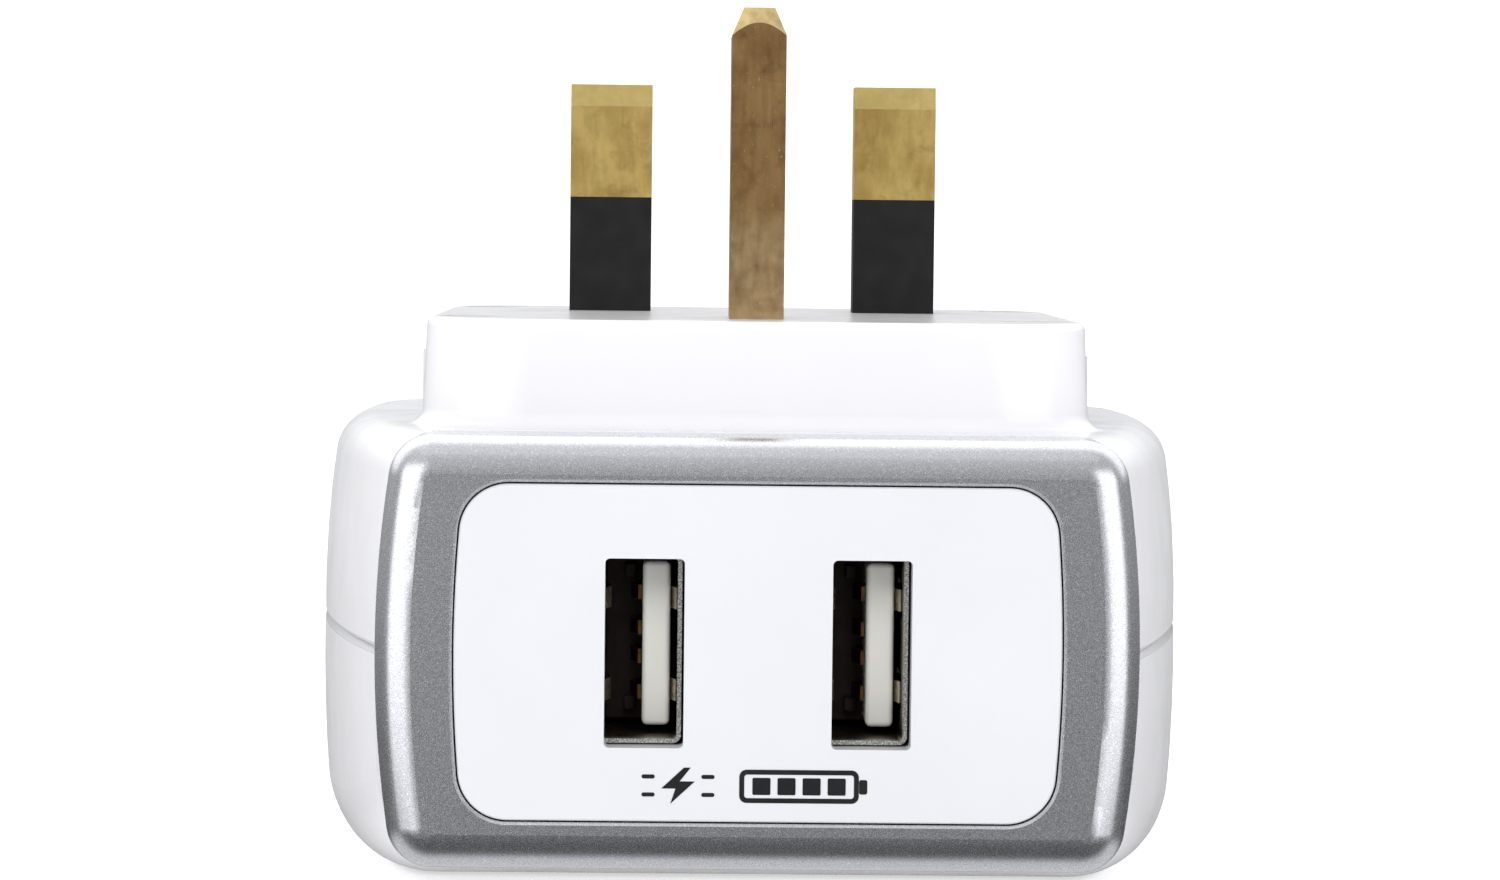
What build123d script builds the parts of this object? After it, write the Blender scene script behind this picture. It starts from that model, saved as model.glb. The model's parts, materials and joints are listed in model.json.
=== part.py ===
"""Dual-port USB wall charger with a BS 1363 plug, built as its separate pieces.

Frame: millimetres, +Z along the plug pins, -Y towards the face with the USB ports.
The origin is the middle of the footprint, level with the flat front of the casing that
the charger rests on with its pins up.
"""

from build123d import *
from math import sqrt
import os

os.makedirs("parts", exist_ok=True)

# Plug, to BS 1363
PIN_FACE_Z = 41.0
PLUG_Y = 12.0
LIVE_PIN_X = 11.115
EARTH_PIN_Y = PLUG_Y - 22.23
PIN_WIDTH = 6.35
EARTH_WIDTH = 7.92
PIN_THICKNESS = 3.97
PIN_REACH = 17.7
EARTH_REACH = 22.73
SLEEVE_REACH = 8.9
SLEEVE_WALL = 0.6

# Casing
HALF_WIDTH = 32.95
SIDE_RADIUS = 133.0
FACE_Y = -36.0
BEZEL_BACK_Y = -28.5
REAR_Y = 36.0
REAR_CORNER = 15.0
PARTING_Z = 18.0
SHOULDER_Z = 33.2
WALL = 2.2
FRONT_EDGE_RADIUS = 6.5
SHOULDER_EDGE_RADIUS = 3.2
FIT_GAP = 0.1

# Bezel and port panel
BEZEL_LOW_Z = 3.4
BEZEL_HIGH_Z = 33.35
BEZEL_HALF_WIDTH = 26.4
BEZEL_BOW = 1.35
BEZEL_CORNER = 3.2
BEZEL_ROUND = 2.6
PANEL_WIDTH = 41.7
PANEL_HEIGHT = 23.1
PANEL_CORNER = 3.4
PANEL_BOW = 0.65
PANEL_Z = 18.57
PANEL_FLANGE_Y = FACE_Y + 2.1
EDGE_BREAK = 0.2

# USB-A ports, long side upright
PORT_X = 7.8
PORT_WIDTH = 5.45
PORT_HEIGHT = 13.0
SHELL_WIDTH = 5.72
SHELL_HEIGHT = 13.1
SHELL_WALL = 0.3
SHELL_SHIFT_X = -0.3
SHELL_SHIFT_Z = 0.15
SHELL_MOUTH_Y = FACE_Y + 2.2
TONGUE_MOUTH_Y = FACE_Y + 5.8
TONGUE_SHIFT_X = 0.78
TONGUE_THICKNESS = 1.95
TONGUE_HEIGHT = 11.5

# Circuit boards
BOARD_THICKNESS = 1.6
MAIN_BOARD_Z = 6.0
MAIN_BOARD_TOP = MAIN_BOARD_Z + BOARD_THICKNESS
USB_BOARD_FRONT_Y = -19.2
USB_BOARD_BACK_Y = USB_BOARD_FRONT_Y + BOARD_THICKNESS
LEAD_RADIUS = 0.4
LEAD_HOLE_RADIUS = 0.5
LEAD_LOW_Z = MAIN_BOARD_Z - 1.2

# Screw places
CASE_SCREWS = [(x, y) for x in (-20.6, 20.6) for y in (-12.5, 21.0)]
CASE_SCREW_SEAT_Z = 24.0
BOARD_SCREWS = [(-22.3, 3.6), (22.3, 3.6)]
RETAINER_SCREWS = [(0.0, 14.0), (0.0, 0.0)]

# Places of the through-hole parts on the main board
TRANSFORMER_XY = (-2.0, 1.6)
BULK_CAPACITORS = [(14.5, -2.2), (14.5, 8.6)]
OUTPUT_CAPACITORS = [(-9.0, -11.2), (0.3, -11.2)]
OUTPUT_DIODE_XY = (10.1, -12.5)
OPTOCOUPLER_XY = (-18.5, -4.4)
CONTROLLER_XY = (-16.3, 7.0)
Y_CAPACITOR_XY = (-20.0, 14.0)
BRIDGE_XY = (-9.0, 16.0)
CHOKE_XY = (3.5, 17.0)
X_CAPACITOR_XY = (0.0, 27.2)
FUSE_XY = (-14.5, 28.3)
LINE_LEAD_XY = (LIVE_PIN_X, 26.5)
NEUTRAL_LEAD_XY = (-LIVE_PIN_X, 23.0)
HEADER_Y = -15.9


def lead_pair(place, spacing, along="x"):
    """Two board holes for a part's leads, either side of its place."""
    x, y = place
    half = spacing / 2
    if along == "x":
        return [(x - half, y), (x + half, y)]
    return [(x, y - half), (x, y + half)]


def lead_grid(place, across, along, rows):
    """Two columns of board holes for a dual-in-line part."""
    x, y = place
    first = y - along * (rows - 1) / 2
    return [(x + side * across / 2, first + along * row) for side in (-1, 1) for row in range(rows)]


LEADS = {
    "bulk": [hole for place in BULK_CAPACITORS for hole in lead_pair(place, 5.0, "y")],
    "output": [hole for place in OUTPUT_CAPACITORS for hole in lead_pair(place, 3.5)],
    "diode": lead_pair(OUTPUT_DIODE_XY, 5.08),
    "optocoupler": lead_grid(OPTOCOUPLER_XY, 3.6, 2.54, 2),
    "controller": lead_grid(CONTROLLER_XY, 4.6, 2.54, 3),
    "y": lead_pair(Y_CAPACITOR_XY, 6.0),
    "bridge": lead_grid(BRIDGE_XY, 6.0, 4.0, 2),
    "choke": lead_pair(CHOKE_XY, 7.0),
    "x": lead_pair(X_CAPACITOR_XY, 10.0),
    "fuse": lead_pair(FUSE_XY, 11.0),
    "transformer": [
        (TRANSFORMER_XY[0] + column * 4.0, TRANSFORMER_XY[1] + row * 6.8)
        for column in (-1, 0, 1)
        for row in (-1, 1)
    ],
    "header": [(x, HEADER_Y) for x in (-5.08, -2.54, 0.0, 2.54, 5.08)],
}


TO_FACE = (0, -1, 0)


def body_plan(height, inset, front_y=BEZEL_BACK_Y):
    """The casing's outline seen along Z, pulled in by inset, as a face at this height."""
    radius = SIDE_RADIUS - inset
    centre_x = HALF_WIDTH - SIDE_RADIUS
    rear_y = REAR_Y - inset
    front_x = centre_x + sqrt(radius**2 - (front_y - PLUG_Y) ** 2)
    rear_x = centre_x + sqrt(radius**2 - (rear_y - PLUG_Y) ** 2)
    side_x = HALF_WIDTH - inset
    with BuildSketch(Plane.XY.offset(height)) as plan:
        with BuildLine():
            ThreePointArc((front_x, front_y), (side_x, PLUG_Y), (rear_x, rear_y))
            Line((rear_x, rear_y), (-rear_x, rear_y))
            ThreePointArc((-rear_x, rear_y), (-side_x, PLUG_Y), (-front_x, front_y))
            Line((-front_x, front_y), (front_x, front_y))
        make_face()
        fillet(plan.vertices().group_by(Axis.Y)[-1], REAR_CORNER - inset)
    return plan.sketch


def bowed_panel(depth_y, half_width, low_z, high_z, bow, corner):
    """A rounded rectangle with its two sides bowed outwards, facing -Y at depth_y."""
    middle = (low_z + high_z) / 2
    corner_x = half_width - bow
    with BuildSketch(Plane.XZ.offset(-depth_y)) as outline:
        with BuildLine():
            ThreePointArc((corner_x, low_z), (half_width, middle), (corner_x, high_z))
            Line((corner_x, high_z), (-corner_x, high_z))
            ThreePointArc((-corner_x, high_z), (-half_width, middle), (-corner_x, low_z))
            Line((-corner_x, low_z), (corner_x, low_z))
        make_face()
        fillet(outline.vertices(), corner)
    return outline.sketch


def panel_outline(depth_y, grow):
    """The port panel's outline, grown all round."""
    return bowed_panel(
        depth_y,
        PANEL_WIDTH / 2 + grow,
        PANEL_Z - PANEL_HEIGHT / 2 - grow,
        PANEL_Z + PANEL_HEIGHT / 2 + grow,
        PANEL_BOW,
        PANEL_CORNER + grow,
    )


def block(x_range, y_range, z_range, mode=Mode.ADD):
    """A box between two limits on each axis, in the part being built."""
    sizes = [high - low for low, high in (x_range, y_range, z_range)]
    centre = [(high + low) / 2 for low, high in (x_range, y_range, z_range)]
    with Locations(tuple(centre)):
        Box(*sizes, mode=mode)


def post(place, radius, low_z, high_z, mode=Mode.ADD):
    """An upright cylinder between two heights, in the part being built."""
    with Locations((place[0], place[1], (low_z + high_z) / 2)):
        Cylinder(radius, high_z - low_z, mode=mode)


def finish(builder, name):
    """Names the piece and writes its STEP file."""
    builder.part.label = name
    export_step(builder.part, f"parts/{name}.step")


# ---------------------------------------------------------------- casing

REAR_SECTIONS = [(PARTING_Z, 0.0), (25.7, 0.25), (SHOULDER_Z, 1.2)]
FRONT_SECTIONS = [(PARTING_Z, 0.0), (9.0, 0.1), (0.0, 0.9)]
PEDESTAL_WIDTH = 48.8
PEDESTAL_DEPTH = 48.8
PEDESTAL_Y = 2.75
PEDESTAL_CORNER = 8.0
PEDESTAL_FOOT_RADIUS = 1.2
PEDESTAL_TOP_RADIUS = 0.6
PEDESTAL_DRAFT = 2.7
PIN_FACE_WALL = 2.5
PIN_SEAT_Z = 36.5
PIN_HEAD_Z = 34.5
LIP_HEIGHT = 1.6
GROOVE_DEPTH = 0.4
RISE_START_Y = -8.0
RISE_HEIGHT = 3.3


def front_bulk(wall):
    """The front cover's closed shape, with its rounded edges, inside the given wall."""
    floor = wall
    front_y = BEZEL_BACK_Y - wall
    with BuildPart() as bulk:
        loft([body_plan(max(z, floor), inset + wall, front_y) for z, inset in FRONT_SECTIONS])
        with BuildSketch(Plane.YZ):
            with BuildLine():
                rise = TangentArc((RISE_START_Y, floor), (front_y, floor + RISE_HEIGHT), tangent=(-1, 0))
                Line(rise @ 1, (front_y, floor - 1))
                Line((front_y, floor - 1), (RISE_START_Y, floor - 1))
                Line((RISE_START_Y, floor - 1), rise @ 0)
            make_face()
        extrude(amount=HALF_WIDTH + 1, both=True, mode=Mode.SUBTRACT)
        low_edges = bulk.edges().filter_by(lambda edge: edge.center().Z < floor + RISE_HEIGHT)
        low_edges = low_edges.filter_by(lambda edge: edge.bounding_box().size.Z < RISE_HEIGHT + 0.5)
        seams = low_edges.filter_by(Axis.X).filter_by(lambda edge: edge.center().Y < PLUG_Y)
        fillet([edge for edge in low_edges if edge not in seams], FRONT_EDGE_RADIUS - wall)
    return bulk.part


def plug_plate():
    """The stretch of the casing that the pins' heads sit on, as a face at z = 0."""
    with BuildSketch() as plate:
        with Locations((0, PLUG_Y)):
            Rectangle(33, 12)
        with Locations((0, (EARTH_PIN_Y - 6 + PLUG_Y) / 2)):
            Rectangle(14, PLUG_Y - EARTH_PIN_Y + 6)
    return plate.sketch


with BuildPart() as rear_cover:
    loft([body_plan(z, inset) for z, inset in REAR_SECTIONS])
    shoulder = rear_cover.edges().group_by(Axis.Z)[-1]
    fillet(shoulder.filter_by(lambda edge: edge.center().Y > BEZEL_BACK_Y + 0.1), SHOULDER_EDGE_RADIUS)
    with BuildSketch(Plane.XY.offset(SHOULDER_Z)):
        with Locations((0, PEDESTAL_Y)):
            RectangleRounded(PEDESTAL_WIDTH, PEDESTAL_DEPTH, PEDESTAL_CORNER)
    extrude(amount=PIN_FACE_Z - SHOULDER_Z, taper=PEDESTAL_DRAFT)
    fillet(rear_cover.edges().group_by(Axis.Z)[-1], PEDESTAL_TOP_RADIUS)
    foot = rear_cover.edges().filter_by(lambda edge: abs(edge.center().Z - SHOULDER_Z) < 0.01)
    foot = foot.filter_by(lambda edge: abs(edge.center().X) < PEDESTAL_WIDTH / 2 + 0.1)
    foot = foot.filter_by(lambda edge: abs(edge.center().Y - PEDESTAL_Y) < PEDESTAL_DEPTH / 2 + 0.1)
    fillet(foot, PEDESTAL_FOOT_RADIUS)
    parting = rear_cover.edges().group_by(Axis.Z)[0]
    chamfer(parting.filter_by(lambda edge: edge.center().Y > BEZEL_BACK_Y + 0.1), GROOVE_DEPTH)

    # Hollow of the casing and of the pedestal, open towards the bezel
    cavity_front = BEZEL_BACK_Y - 1
    loft(
        [body_plan(PARTING_Z, WALL, cavity_front), body_plan(SHOULDER_Z - WALL, WALL + 1.2, cavity_front)],
        mode=Mode.SUBTRACT,
    )
    with BuildSketch(Plane.XY.offset(SHOULDER_Z - WALL)):
        with Locations((0, PEDESTAL_Y)):
            RectangleRounded(PEDESTAL_WIDTH - 6, PEDESTAL_DEPTH - 6, PEDESTAL_CORNER - 3)
    extrude(amount=PIN_FACE_Z - PIN_FACE_WALL - SHOULDER_Z + WALL, mode=Mode.SUBTRACT)

    # Recess for the front cover's lip
    with BuildSketch(Plane.XY.offset(PARTING_Z)):
        add(body_plan(0, 1.1, cavity_front))
    extrude(amount=LIP_HEIGHT + FIT_GAP, mode=Mode.SUBTRACT)

    # Seat for the pins, with two posts for the retainer's screws
    add(Pos(0, 0, PIN_SEAT_Z) * plug_plate())
    extrude(amount=PIN_FACE_Z - PIN_FACE_WALL - PIN_SEAT_Z)
    for place in RETAINER_SCREWS:
        post(place, 3.0, PIN_HEAD_Z, PIN_SEAT_Z)
        post(place, 0.9, PIN_HEAD_Z, PIN_HEAD_Z + 4.5, mode=Mode.SUBTRACT)

    # Deep screw bosses, entered from the pin face
    for place in CASE_SCREWS:
        post(place, 3.8, PARTING_Z, PIN_FACE_Z - PIN_FACE_WALL)
        post(place, 2.6, CASE_SCREW_SEAT_Z, PIN_FACE_Z, mode=Mode.SUBTRACT)
        post(place, 1.7, PARTING_Z, CASE_SCREW_SEAT_Z, mode=Mode.SUBTRACT)

    # Openings for the three pins
    for side in (-1, 1):
        block(
            (side * LIVE_PIN_X - PIN_WIDTH / 2, side * LIVE_PIN_X + PIN_WIDTH / 2),
            (PLUG_Y - PIN_THICKNESS / 2, PLUG_Y + PIN_THICKNESS / 2),
            (PIN_SEAT_Z, PIN_FACE_Z),
            mode=Mode.SUBTRACT,
        )
    block(
        (-PIN_THICKNESS / 2, PIN_THICKNESS / 2),
        (EARTH_PIN_Y - EARTH_WIDTH / 2, EARTH_PIN_Y + EARTH_WIDTH / 2),
        (PIN_SEAT_Z, PIN_FACE_Z),
        mode=Mode.SUBTRACT,
    )

    # Slots that the bezel's upper hooks catch in
    for side in (-1, 1):
        block(
            (side * 13 - 4.3, side * 13 + 4.3),
            (BEZEL_BACK_Y + 3.2, BEZEL_BACK_Y + 5.0),
            (SHOULDER_Z - WALL - 0.5, SHOULDER_Z - WALL + 0.9),
            mode=Mode.SUBTRACT,
        )
finish(rear_cover, "rear_cover")

with BuildPart() as front_cover:
    add(front_bulk(0))
    parting = front_cover.edges().group_by(Axis.Z)[-1]
    chamfer(parting.filter_by(lambda edge: edge.center().Y > BEZEL_BACK_Y + 0.1), GROOVE_DEPTH)

    # Lip that enters the rear cover, then the hollow
    with BuildSketch(Plane.XY.offset(PARTING_Z)):
        add(body_plan(0, 1.2))
    extrude(amount=LIP_HEIGHT)
    with BuildSketch(Plane.XY.offset(PARTING_Z)):
        add(body_plan(0, WALL, BEZEL_BACK_Y - WALL))
    extrude(amount=LIP_HEIGHT, mode=Mode.SUBTRACT)
    add(front_bulk(WALL), mode=Mode.SUBTRACT)

    # Screw posts for the casing and for the main board
    for place in CASE_SCREWS:
        post(place, 3.5, WALL / 2, PARTING_Z)
        post(place, 1.25, 4.0, PARTING_Z, mode=Mode.SUBTRACT)
    for place in BOARD_SCREWS:
        post(place, 2.8, WALL / 2, MAIN_BOARD_Z)
        post(place, 0.9, WALL / 2 + 0.4, MAIN_BOARD_Z, mode=Mode.SUBTRACT)

    # Rib that the bezel's lower hooks catch behind
    for side in (-1, 1):
        block((side * 13 - 5, side * 13 + 5), (BEZEL_BACK_Y + 1.6, BEZEL_BACK_Y + 2.8), (3.4, 6.3))
finish(front_cover, "front_cover")

HOOK_THICKNESS = 1.4
TOP_HOOK_Z = SHOULDER_Z - WALL - FIT_GAP
LOW_HOOK_Z = 6.4

with BuildPart() as bezel:
    add(bowed_panel(BEZEL_BACK_Y, BEZEL_HALF_WIDTH, BEZEL_LOW_Z, BEZEL_HIGH_Z, BEZEL_BOW, BEZEL_CORNER))
    extrude(amount=BEZEL_BACK_Y - FACE_Y, dir=TO_FACE)
    fillet(bezel.edges().group_by(Axis.Y)[0], BEZEL_ROUND)
    add(panel_outline(BEZEL_BACK_Y, 0.12))
    extrude(amount=BEZEL_BACK_Y - FACE_Y, dir=TO_FACE, mode=Mode.SUBTRACT)
    chamfer(bezel.faces().sort_by(Axis.Y)[0].inner_wires()[0].edges(), EDGE_BREAK)
    add(panel_outline(BEZEL_BACK_Y, 2.2))
    extrude(amount=BEZEL_BACK_Y - PANEL_FLANGE_Y, dir=TO_FACE, mode=Mode.SUBTRACT)

    # Snap hooks that hold the bezel to the two covers
    for side in (-1, 1):
        hook_x = (side * 13 - 4, side * 13 + 4)
        root_y = (BEZEL_BACK_Y - 2, BEZEL_BACK_Y)
        block(hook_x, root_y, (TOP_HOOK_Z - HOOK_THICKNESS, TOP_HOOK_Z + 1.8))
        block(hook_x, (BEZEL_BACK_Y - 2, BEZEL_BACK_Y + 4.9), (TOP_HOOK_Z - HOOK_THICKNESS, TOP_HOOK_Z))
        block(hook_x, (BEZEL_BACK_Y + 3.4, BEZEL_BACK_Y + 4.9), (TOP_HOOK_Z, TOP_HOOK_Z + 0.8))
        block(hook_x, root_y, (LOW_HOOK_Z - 2.0, LOW_HOOK_Z + HOOK_THICKNESS))
        block(hook_x, (BEZEL_BACK_Y - 2, BEZEL_BACK_Y + 4.5), (LOW_HOOK_Z, LOW_HOOK_Z + HOOK_THICKNESS))
        block(hook_x, (BEZEL_BACK_Y + 3.0, BEZEL_BACK_Y + 4.5), (LOW_HOOK_Z - 0.8, LOW_HOOK_Z))
finish(bezel, "bezel")

with BuildPart() as usb_panel:
    add(panel_outline(PANEL_FLANGE_Y, 0))
    extrude(amount=PANEL_FLANGE_Y - FACE_Y - FIT_GAP, dir=TO_FACE)
    chamfer(usb_panel.faces().sort_by(Axis.Y)[0].edges(), EDGE_BREAK / 2)
    add(panel_outline(PANEL_FLANGE_Y + 1.0, 2.0))
    extrude(amount=1.0, dir=TO_FACE)
    for side in (-1, 1):
        port_x = side * PORT_X
        # Collar behind each port that steadies the receptacle's shell
        block(
            (port_x - 4.6, port_x + 4.2),
            (PANEL_FLANGE_Y, BEZEL_BACK_Y - 0.2),
            (PANEL_Z - 8.0, PANEL_Z + 8.2),
        )
        shell_x = port_x + SHELL_SHIFT_X
        block(
            (shell_x - SHELL_WIDTH / 2 - FIT_GAP, shell_x + SHELL_WIDTH / 2 + FIT_GAP),
            (SHELL_MOUTH_Y - FIT_GAP, BEZEL_BACK_Y),
            (
                PANEL_Z + SHELL_SHIFT_Z - SHELL_HEIGHT / 2 - FIT_GAP,
                PANEL_Z + SHELL_SHIFT_Z + SHELL_HEIGHT / 2 + FIT_GAP,
            ),
            mode=Mode.SUBTRACT,
        )
        with BuildSketch(Plane.XZ.offset(-BEZEL_BACK_Y)):
            with Locations((port_x, PANEL_Z)):
                RectangleRounded(PORT_WIDTH, PORT_HEIGHT, 0.35)
        extrude(amount=BEZEL_BACK_Y - FACE_Y, mode=Mode.SUBTRACT)
        # Feet that the covers' front ends press on
        for foot_z in (PANEL_Z - 9.5, PANEL_Z + 9.5):
            block(
                (side * 19.5 - 1.5, side * 19.5 + 1.5),
                (PANEL_FLANGE_Y + 1.0, BEZEL_BACK_Y - FIT_GAP),
                (foot_z - 1.5, foot_z + 1.5),
            )
finish(usb_panel, "usb_panel")

# ---------------------------------------------------------------- plug pins

SLEEVE_ROOT_Z = 37.5
SLEEVE_TOP_Z = PIN_FACE_Z + SLEEVE_REACH
TANG_LOW_Z = 29.5
EARTH_TIP_RADIUS = 3.4
EARTH_TIP_SLOPE = 0.5


def plug_pin(centre, width_x, width_y, head_x, head_y, tip_z, taper, sleeved):
    """One brass pin with a head inside the casing; a sleeved pin is necked for its sleeve.

    The earth pin's tip is tapered across its narrow way and turned to a cone, and a
    sleeved pin's tip is tapered across its thickness only.
    """
    x, y = centre
    across = Axis.X if sleeved else Axis.Y
    with BuildPart() as pin:
        shank = (PIN_SEAT_Z, tip_z)
        block((x - width_x / 2, x + width_x / 2), (y - width_y / 2, y + width_y / 2), shank)
        top = pin.faces().sort_by(Axis.Z)[-1]
        chamfer(top.edges().filter_by(across), length=taper[0], length2=taper[1], reference=top)
        if not sleeved:
            length = tip_z - PIN_SEAT_Z
            root_radius = EARTH_TIP_RADIUS + EARTH_TIP_SLOPE * length
            with Locations((x, y, (PIN_SEAT_Z + tip_z) / 2)):
                Cone(root_radius, EARTH_TIP_RADIUS, length, mode=Mode.INTERSECT)
        block((x - head_x / 2, x + head_x / 2), (y - head_y / 2, y + head_y / 2), (PIN_HEAD_Z, PIN_SEAT_Z))
        if sleeved:
            with BuildSketch(Plane.XY.offset(SLEEVE_ROOT_Z)):
                with Locations((x, y)):
                    Rectangle(width_x, width_y)
                    Rectangle(width_x - 2 * SLEEVE_WALL, width_y - 2 * SLEEVE_WALL, mode=Mode.SUBTRACT)
            extrude(amount=SLEEVE_TOP_Z - SLEEVE_ROOT_Z, mode=Mode.SUBTRACT)
            block((x - 2, x + 2), (y - 0.5, y + 0.5), (TANG_LOW_Z, PIN_HEAD_Z))
    return pin


def pin_sleeve(x):
    """The insulating sleeve round the root of a live pin."""
    with BuildPart() as sleeve:
        with BuildSketch(Plane.XY.offset(SLEEVE_ROOT_Z)):
            with Locations((x, PLUG_Y)):
                Rectangle(PIN_WIDTH, PIN_THICKNESS)
                Rectangle(PIN_WIDTH - 2 * SLEEVE_WALL, PIN_THICKNESS - 2 * SLEEVE_WALL, mode=Mode.SUBTRACT)
        extrude(amount=SLEEVE_TOP_Z - SLEEVE_ROOT_Z)
    return sleeve


def terminal(x):
    """Folded terminal pushed on a pin's tang, with a barrel for the lead."""
    with BuildPart() as body:
        block((x - 2.6, x + 2.6), (PLUG_Y - 1.1, PLUG_Y + 1.1), (27.0, 32.3))
        block((x - 2, x + 2), (PLUG_Y - 0.5, PLUG_Y + 0.5), (TANG_LOW_Z, 32.3), mode=Mode.SUBTRACT)
        with Locations(Plane((x, PLUG_Y + 1.1, 28.5), z_dir=(0, 1, 0))):
            Cylinder(1.3, 3.0, align=(Align.CENTER, Align.CENTER, Align.MIN))
            Cylinder(0.8, 3.0, align=(Align.CENTER, Align.CENTER, Align.MIN), mode=Mode.SUBTRACT)
    return body


def supply_lead(x, drop, bend):
    """Insulated wire from a terminal back over the parts and down to the main board."""
    start = (x, PLUG_Y + 1.1, 28.5)
    corner = (x, drop[1], 28.5)
    with BuildPart() as lead:
        with BuildLine():
            FilletPolyline(start, corner, (x, drop[1], MAIN_BOARD_TOP), radius=bend)
        with BuildSketch(Plane(start, z_dir=(0, 1, 0))):
            Circle(0.8)
        sweep()
        post(drop, LEAD_RADIUS, LEAD_LOW_Z, MAIN_BOARD_TOP)
    return lead


LIVE_TAPER = (0.4, 1.7)
EARTH_TAPER = (0.85, 2.0)
for name, side, drop, bend in (
    ("line", 1, LINE_LEAD_XY, 7.0),
    ("neutral", -1, NEUTRAL_LEAD_XY, 6.0),
):
    pin_x = side * LIVE_PIN_X
    pin = plug_pin(
        (pin_x, PLUG_Y), PIN_WIDTH, PIN_THICKNESS, 8.4, 6.0, PIN_FACE_Z + PIN_REACH, LIVE_TAPER, True
    )
    finish(pin, f"{name}_pin")
    finish(pin_sleeve(pin_x), f"{name}_pin_sleeve")
    finish(terminal(pin_x), f"{name}_terminal")
    finish(supply_lead(pin_x, drop, bend), f"{name}_lead")

earth_pin = plug_pin(
    (0, EARTH_PIN_Y), PIN_THICKNESS, EARTH_WIDTH, 6.0, 10.0, PIN_FACE_Z + EARTH_REACH, EARTH_TAPER, False
)
finish(earth_pin, "earth_pin")

RETAINER_LOW_Z = 32.5
with BuildPart() as pin_retainer:
    add(Pos(0, 0, RETAINER_LOW_Z) * plug_plate())
    extrude(amount=PIN_HEAD_Z - RETAINER_LOW_Z)
    for side in (-1, 1):
        pin_x = side * LIVE_PIN_X
        block(
            (pin_x - 2.1, pin_x + 2.1),
            (PLUG_Y - 0.6, PLUG_Y + 0.6),
            (RETAINER_LOW_Z, PIN_HEAD_Z),
            mode=Mode.SUBTRACT,
        )
    for place in RETAINER_SCREWS:
        post(place, 1.25, RETAINER_LOW_Z, PIN_HEAD_Z, mode=Mode.SUBTRACT)
finish(pin_retainer, "pin_retainer")


# ---------------------------------------------------------------- screws


def screws(places, seat_z, way, head_radius, head_height, shank_radius, length):
    """Pan-head screws with a cross recess; way is +1 when the heads face up."""
    outer_z = seat_z + way * head_height
    tip_z = seat_z - way * length
    point_z = tip_z + way * shank_radius
    with BuildPart() as group:
        for x, y in places:
            post((x, y), head_radius, *sorted((seat_z, outer_z)))
            post((x, y), shank_radius, *sorted((seat_z, point_z)))
            with Locations(Plane((x, y, point_z), z_dir=(0, 0, -way))):
                Cone(shank_radius, 0.2, shank_radius, align=(Align.CENTER, Align.CENTER, Align.MIN))
            recess = sorted((outer_z, outer_z - way * head_height * 0.6))
            arm = head_radius * 0.6
            block((x - arm, x + arm), (y - 0.35, y + 0.35), recess, Mode.SUBTRACT)
            block((x - 0.35, x + 0.35), (y - arm, y + arm), recess, Mode.SUBTRACT)
    return group


finish(screws(CASE_SCREWS, CASE_SCREW_SEAT_Z, 1, 2.35, 2.0, 1.25, 17.0), "case_screws")
finish(screws(BOARD_SCREWS, MAIN_BOARD_TOP, 1, 1.9, 1.4, 0.9, 5.8), "board_screws")
finish(screws(RETAINER_SCREWS, RETAINER_LOW_Z, -1, 2.2, 1.5, 0.9, 6.0), "retainer_screws")

# ---------------------------------------------------------------- main board

BOARD_HALF_WIDTH = 26.0
BOARD_FRONT_Y = -16.8
BOARD_REAR_Y = 31.0
BOSS_CLEARANCE = 4.2

with BuildPart() as main_board:
    with BuildSketch(Plane.XY.offset(MAIN_BOARD_Z)):
        with Locations((0, (BOARD_FRONT_Y + BOARD_REAR_Y) / 2)):
            RectangleRounded(2 * BOARD_HALF_WIDTH, BOARD_REAR_Y - BOARD_FRONT_Y, 5.0)
        with Locations(*CASE_SCREWS):
            Circle(BOSS_CLEARANCE, mode=Mode.SUBTRACT)
        for x, y in CASE_SCREWS:
            with Locations((x + (BOSS_CLEARANCE if x > 0 else -BOSS_CLEARANCE), y)):
                Rectangle(2 * BOSS_CLEARANCE, 2 * BOSS_CLEARANCE, mode=Mode.SUBTRACT)
        with Locations(*BOARD_SCREWS):
            Circle(1.1, mode=Mode.SUBTRACT)
        with Locations(*[hole for holes in LEADS.values() for hole in holes], LINE_LEAD_XY, NEUTRAL_LEAD_XY):
            Circle(LEAD_HOLE_RADIUS, mode=Mode.SUBTRACT)
    extrude(amount=BOARD_THICKNESS)
finish(main_board, "main_board")


def board_leads(holes, top_z=MAIN_BOARD_TOP):
    """Round leads through the main board's holes, in the part being built."""
    for hole in holes:
        post(hole, LEAD_RADIUS, LEAD_LOW_Z, top_z)


def can_capacitors(places, radius, height, holes):
    """Aluminium can capacitors on end, with the rolled groove near the base."""
    with BuildPart() as cans:
        for place in places:
            post(place, radius, MAIN_BOARD_TOP, MAIN_BOARD_TOP + height)
        rims = cans.edges().filter_by(GeomType.CIRCLE)
        fillet(rims, 0.5)
        for x, y in places:
            with Locations((x, y, MAIN_BOARD_TOP + 2.2)):
                Torus(radius + 0.1, 0.5, mode=Mode.SUBTRACT)
        board_leads(holes, MAIN_BOARD_TOP + 0.6)
    return cans


def boxed_part(place, size, edge, holes):
    """A moulded part on the main board, with rounded edges and its leads."""
    x, y = place
    width, depth, height = size
    with BuildPart() as body:
        block(
            (x - width / 2, x + width / 2),
            (y - depth / 2, y + depth / 2),
            (MAIN_BOARD_TOP, MAIN_BOARD_TOP + height),
        )
        fillet(body.edges(), edge)
        board_leads(holes, MAIN_BOARD_TOP + edge + 0.2)
    return body


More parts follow.
